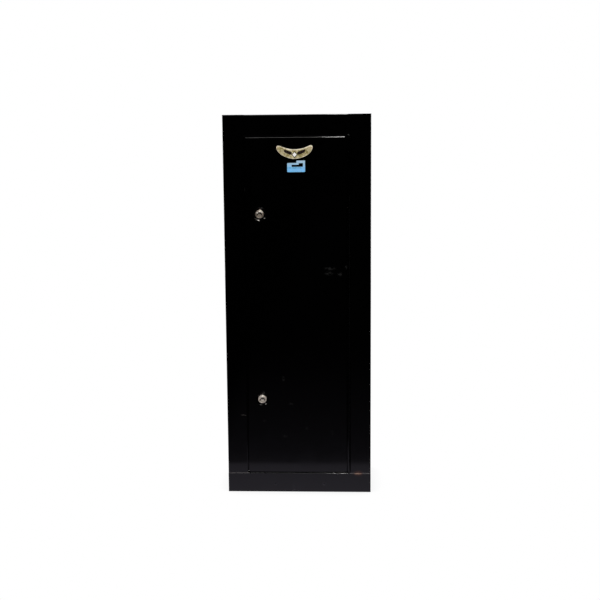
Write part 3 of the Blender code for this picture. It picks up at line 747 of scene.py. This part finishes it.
def make_plug(lock, centre, metal):
    """The turning plug: a dished dial with a zigzag keyway, and a square end for the cam."""
    profile = mm(
        (0.0, DIAL_FACE + 0.25),
        (6.0, DIAL_FACE + 0.2),
        (9.6, DIAL_FACE + 0.05),
        (11.2, DIAL_FACE),
        (11.6, DIAL_FACE + 0.15),
        (11.85, DIAL_FACE + 0.5),
        (11.85, -3.6),
        (6.95, -3.6),
        (6.95, 20.9),
        (6.6, 21.2),
        (0.0, 21.2),
    )
    bm = bmesh.new()
    lathe(bm, profile, centre, LOCK_STEPS, closed=False)
    plug = new_piece(lock + "_plug_turned", bm, lock, metal, [lock + "_plug"])
    half = 3.5 * MM
    square = block(centre, (-half, 19.0 * MM, -half), (half, 23.7 * MM, half))
    combine(plug, "UNION", [square])
    face_depth = centre[1] + DIAL_FACE * MM
    floor_depth = face_depth + KEY_DEPTH
    cuts = []
    for (x0, z0), (x1, z1) in zip(KEY_PATH, KEY_PATH[1:]):
        along = Vector((x1 - x0, z1 - z0)).normalized()
        aside = Vector((-along.y, along.x)) * KEY_WIDTH / 2
        start = Vector((x0, z0)) - along * KEY_WIDTH * 0.35
        end = Vector((x1, z1)) + along * KEY_WIDTH * 0.35
        corners = [start + aside, end + aside, end - aside, start - aside]
        outline = [(centre[0] + c.x, centre[2] + c.y) for c in corners]
        cuts.append(prism(outline, centre[1] - 7.5 * MM, floor_depth))
    cuts.append(rod(centre, 2.5 * MM, 14.7 * MM, 25.0 * MM, 24))
    combine(plug, "DIFFERENCE", cuts)
    # The keyway's floor and walls take the near-black painted shade.
    plug.data.materials.append(KEYWAY_SHADE)
    for face in plug.data.polygons:
        middle = face.center
        reach = math.hypot(middle.x - centre[0], middle.z - centre[2])
        if reach < 11.4 * MM and face_depth + 0.4 * MM < middle.y < floor_depth + 0.1 * MM:
            face.material_index = 1
    return plug


# Door decals


BAND_HEIGHT = 0.034
BAND_CURVE = 0.115  # radius of the band's lower edge
BAND_END = 0.014  # the length of each round end
BAND_TAPER = 0.26  # the share of its height that the band loses at its ends


def bent(points):
    """Carries points (x, z) from a straight band onto the curved one, which tapers to its ends."""
    low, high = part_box("emblem_decal")
    half = (high.x - low.x) / 2
    top = BAND_HEIGHT / 2
    middle_x = (low.x + high.x) / 2
    middle_z = low.z + top + BAND_CURVE
    made = []
    for x, z in points:
        z = top - (top - z) * (1 - BAND_TAPER * (x / half) ** 2)
        made.append((middle_x + x, middle_z + z - math.sqrt(BAND_CURVE**2 - x**2)))
    return made


def capsule(centre, half_length, half_width, end, tilt=0.0, steps=12):
    """The outline of a bar with elliptical ends, turned about its middle by tilt degrees."""
    straight = half_length - end
    right = [
        (straight + end * math.cos(turn), half_width * math.sin(turn))
        for turn in (math.pi * (i / steps - 0.5) for i in range(steps + 1))
    ]
    above = [(straight * (1 - 2 * i / steps), half_width) for i in range(1, steps)]
    half = right + above
    points = half + [(-x, -z) for x, z in half]
    c, s = math.cos(math.radians(tilt)), math.sin(math.radians(tilt))
    return [(centre[0] + c * x - s * z, centre[1] + s * x + c * z) for x, z in points]


def raised_plate(bm, outline, front, back, shrink, paint, layer):
    """A thin plate whose front edge slopes in by shrink, with its tone kept in the layer."""
    count = len(outline)
    rear = [bm.verts.new((u, back, v)) for u, v in outline]
    face = []
    for i in range(count):
        before = Vector(outline[i]) - Vector(outline[i - 1])
        after = Vector(outline[(i + 1) % count]) - Vector(outline[i])
        aside = Vector((-before.y, before.x)).normalized()
        aside += Vector((-after.y, after.x)).normalized()
        point = Vector(outline[i]) + aside.normalized() * shrink
        face.append(bm.verts.new((point.x, front, point.y)))
    for i in range(count):
        bm.faces.new((rear[i - 1], rear[i], face[i], face[i - 1]))
    bm.faces.new(face)
    bm.faces.new(rear[::-1])
    for v in rear + face:
        v[layer] = paint


def make_emblem():
    """A plain gold band in a shallow curve, with a pale rim, two dark bars and a lozenge."""
    low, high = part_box("emblem_decal")
    half = (high.x - low.x) / 2
    back = high.y
    step = 0.1 * MM
    bm = bmesh.new()
    tone = bm.verts.layers.float.new("tone")

    def layer(outline, height, paint, shrink=0.35 * MM):
        rear = back if height == 1 else back - (height + 1) * step + 0.5 * step
        raised_plate(bm, bent(outline), back - (height + 2) * step, rear, shrink, paint, tone)

    layer(capsule((0, 0), half, BAND_HEIGHT / 2, BAND_END, steps=20), 1, 0.80)
    rim = 2.4 * MM
    tall = BAND_HEIGHT / 2 - rim - 0.5 * MM
    field = capsule((0, -1 * MM), half - rim, tall, BAND_END - rim, steps=20)
    layer(field, 2, 0.45)
    for hand in (-1, 1):
        bar = capsule((hand * 24 * MM, 3.5 * MM), 15 * MM, 6.2 * MM, 7 * MM, hand * 6)
        layer(bar, 3, 0.0)
        for k in range(4):
            x = hand * (42 + 4.6 * k) * MM
            reach = (11.5 - 0.9 * k * k) * MM
            layer(capsule((x, 0), 0.7 * MM, reach, 0.6 * MM, -hand * 9), 3, 0.20, 0.2 * MM)
    for size, height, paint in ((12.5, 3, 0.12), (8.6, 4, 1.0)):
        tip = size * MM
        drop = -2 * MM
        lozenge = [(tip * 0.9, drop), (0, drop + tip), (-tip * 0.9, drop), (0, drop - tip)]
        layer(lozenge, height, paint, 1.0 * MM)
    return new_piece("emblem_band", bm, "door", GOLD, ["emblem_decal"], angle=20)


def make_label():
    """A plain blue plate with a stepped top edge and a dark slot."""
    low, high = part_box("label_decal")
    front = high.y - 0.3 * MM

    def at(across, up):
        return (low.x + across * (high.x - low.x), low.z + up * (high.z - low.z))

    edge = [at(0, 0), at(1, 0), at(1, 1), at(0.52, 1), at(0.52, 0.793), at(0, 0.793)]
    bm = bmesh.new()
    plate(bm, rounded(edge, 2.2 * MM, 5), front, high.y)
    material = make_label_print(low.z, high.z)
    label = new_piece("label_plate", bm, "door", material, ["label_decal"])
    slot = [at(0.25, 0.46), at(0.88, 0.46), at(0.88, 0.775)]
    slot += [at(0.647, 0.775), at(0.647, 0.635), at(0.25, 0.635)]
    opening = prism(rounded(slot, 1.2 * MM), front - 0.9 * MM, high.y + 1 * MM)
    combine(label, "DIFFERENCE", [opening])


# Foam


GUNS = 8
BUTT_RADIUS = 0.019


def make_pad(name, node, voxel, material, dents):
    """A foam pad: its edges rounded over, its faces uneven, and pressed in at the dents."""
    mesh = NODES[node].data.copy()
    pad = placed(name, mesh)
    mesh.materials.clear()
    mesh.materials.append(material)
    mesh.attributes.remove(mesh.attributes["custom_normal"])
    weld = pad.modifiers.new("join", "WELD")
    weld.merge_threshold = WELD_REACH
    remesh = pad.modifiers.new("remesh", "REMESH")
    remesh.mode = "VOXEL"
    remesh.voxel_size = voxel
    soften = pad.modifiers.new("soften", "SMOOTH")
    soften.factor = 0.6
    soften.iterations = 7
    graph = bpy.context.evaluated_depsgraph_get()
    result = bpy.data.meshes.new_from_object(pad.evaluated_get(graph))
    pad.modifiers.clear()
    pad.data = result
    bpy.data.meshes.remove(mesh)
    low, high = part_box(node)
    for v in result.vertices:
        inward = -v.normal
        rough = noise.noise(v.co * 45) + 0.5 * noise.noise(v.co * 140)
        v.co += inward * (0.9 * MM + 0.7 * MM * rough)
        up = (v.co.z - low.z) / (high.z - low.z)
        for x, y, radius, deep in dents:
            away = math.hypot(v.co.x - x, v.co.y - y) / radius
            if away < 2.2:
                v.co.z -= deep * max(up, 0) * math.exp(-(away**4))
    result.materials.clear()
    result.materials.append(material)
    result.shade_smooth()
    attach(pad, "cabinet")
    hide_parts(node)


def make_pads():
    """The pad on the rest and the pad on the floor, which eight gun butts have dented."""
    low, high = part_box("floor_foam")
    pitch = (high.x - low.x) / GUNS
    butts = []
    for i in range(GUNS):
        x = low.x + pitch * (i + 0.5)
        y = low.y + (0.52 + 0.06 * math.sin(2.1 * i)) * (high.y - low.y)
        butts.append((x, y, BUTT_RADIUS, 2.2 * MM + 0.8 * MM * math.sin(3.7 * i)))
    make_pad("floor_foam_pad", "floor_foam", 4 * MM, FLOOR_FOAM, butts)
    make_pad("barrel_rest_pad", "barrel_rest_foam", 3 * MM, REST_FOAM, [])


# Surroundings


def make_world():
    """A white backdrop. In reflections it is dim, darkest in front and brighter behind."""
    world = bpy.data.worlds.new("studio")
    bpy.context.scene.world = world
    world.use_nodes = True
    g = Graph(world.node_tree)
    white = g.node("ShaderNodeBackground", {"Color": (1, 1, 1, 1)})
    direction = g.node("ShaderNodeTexCoord").outputs["Generated"]
    backward = g.node("ShaderNodeSeparateXYZ", {0: direction}).outputs["Y"]
    dim = g.node("ShaderNodeBackground", {"Strength": g.ease(backward, -0.05, 0.75, 0.0, 0.55)})
    g.split_for_camera("ShaderNodeOutputWorld", white, dim)


# What the paint mirrors of the floor: (share of FLOOR_REACH ahead of the door, level)
FLOOR_LEVELS = [
    (0.000, 0.42),
    (0.085, 0.34),
    (0.111, 0.30),
    (0.120, 0.105),
    (0.170, 0.070),
    (0.270, 0.048),
    (0.400, 0.034),
    (0.560, 0.022),
    (0.720, 0.010),
    (1.000, 0.004),
]
FLOOR_REACH = 3.0
FLOOR_HALF = 30.0


def make_floor():
    """A white floor with a faint contact shadow. In reflections it is bright near the cabinet."""
    mesh = bpy.data.meshes.new("floor")
    corners = [(-1, -1), (1, -1), (1, 1), (-1, 1)]
    corners = [(FLOOR_HALF * x, FLOOR_HALF * y, -0.3 * MM) for x, y in corners]
    mesh.from_pydata(corners, [], [(0, 1, 2, 3)])
    floor = placed("floor", mesh)
    material = bpy.data.materials.new("floor_white")
    material.use_nodes = True
    g = Graph(material.node_tree)
    open_air = g.node("ShaderNodeAmbientOcclusion", {"Distance": 0.10}).outputs["AO"]
    seen = g.node("ShaderNodeEmission", {"Strength": g.ramp(open_air, 0.0, 0.8, 0.80, 1.0)})
    place = g.node("ShaderNodeTexCoord").outputs["Object"]
    place = g.node("ShaderNodeSeparateXYZ", {0: place}).outputs
    ahead = g.math("SUBTRACT", FRONT, place["Y"])
    fall = g.node("ShaderNodeValToRGB", {0: g.math("DIVIDE", ahead, FLOOR_REACH)})
    elements = fall.color_ramp.elements
    while len(elements) < len(FLOOR_LEVELS):
        elements.new(0.5)
    for element, (position, level) in zip(elements, FLOOR_LEVELS):
        element.position = position
        element.color = (level, level * 0.93, level * 1.12, 1)
    narrow = g.ramp(g.math("ABSOLUTE", place["X"]), 0.33, 0.48, 1.0, 0.08)
    front = {0: fall.outputs[0], "Scale": narrow}
    front = g.node("ShaderNodeVectorMath", front, operation="SCALE").outputs[0]
    level = g.blend(g.ramp(ahead, -0.02, 0.02, 1.0, 0.0), front, (0.45, 0.45, 0.47))
    mirrored = g.node("ShaderNodeEmission", {"Color": level})
    g.split_for_camera("ShaderNodeOutputMaterial", seen, mirrored)
    mesh.materials.append(material)


def make_light(name, place, target, size, watts, colour=(1, 1, 1)):
    data = bpy.data.lights.new(name, "AREA")
    data.shape = "RECTANGLE"
    data.size, data.size_y = size
    data.energy = watts
    data.color = colour
    lamp = placed(name, data)
    lamp.location = place
    aim = Vector(target) - Vector(place)
    lamp.rotation_euler = aim.to_track_quat("-Z", "Y").to_euler()
    lamp.visible_camera = False


def make_lights():
    middle = (0, 0, 0.55 * TOP)
    door = (0, 0, 0.9)
    warm = (1, 0.985, 0.96)
    make_light("overhead_front", (-0.05, -2.1, 3.1), door, (0.95, 0.6), 8, warm)
    make_light("overhead_right", (0.45, -2.1, 3.1), door, (0.76, 0.6), 112, warm)
    make_light("left_side", (-2.7, 0.35, 1.6), middle, (0.8, 1.6), 14, (1, 0.98, 0.95))
    make_light("overhead", (0, 0.4, 3.4), (0, 0, 1.2), (2.0, 2.0), 70)
    make_light("right_back", (2.8, 1.6, 1.5), middle, (0.9, 2.2), 60)
    make_light("left_back", (-2.8, 1.6, 1.5), middle, (0.9, 2.2), 60)


CAMERA_PLACE = Vector((0.162, FRONT - 3.573, 1.2445))
CAMERA_TURN = (("Z", 0.111), ("Y", -2.45), ("X", 8.221))  # roll, swing and tilt, in degrees
UPRIGHT = Matrix(((1, 0, 0), (0, 0, -1), (0, 1, 0)))


def make_camera():
    """A 59 mm lens a little above the locks, turned slightly down and to the left."""
    data = bpy.data.cameras.new("camera")
    data.lens = 59.26
    data.sensor_width = 36.0
    camera = placed("camera", data)
    turn = Matrix.Identity(3)
    for axis, degrees in CAMERA_TURN:
        turn = turn @ Matrix.Rotation(math.radians(degrees), 3, axis)
    turn = UPRIGHT @ turn.transposed()
    camera.matrix_world = Matrix.Translation(CAMERA_PLACE) @ turn.to_4x4()
    bpy.context.scene.camera = camera


finish_cad_nodes()
# The upper lock takes the darker painted copy of the nickel, the lower lock the lighter one.
for lock, metal in zip(LOCKS, (UPPER_NICKEL_SHADED, LOWER_NICKEL_LIT)):
    make_collar(lock, lock_centre(lock))
    make_housing(lock, lock_centre(lock), metal)
    make_plug(lock, lock_centre(lock), metal)
make_emblem()
make_label()
make_pads()
make_world()
make_floor()
make_lights()
make_camera()
bpy.context.scene.view_settings.view_transform = "Standard"
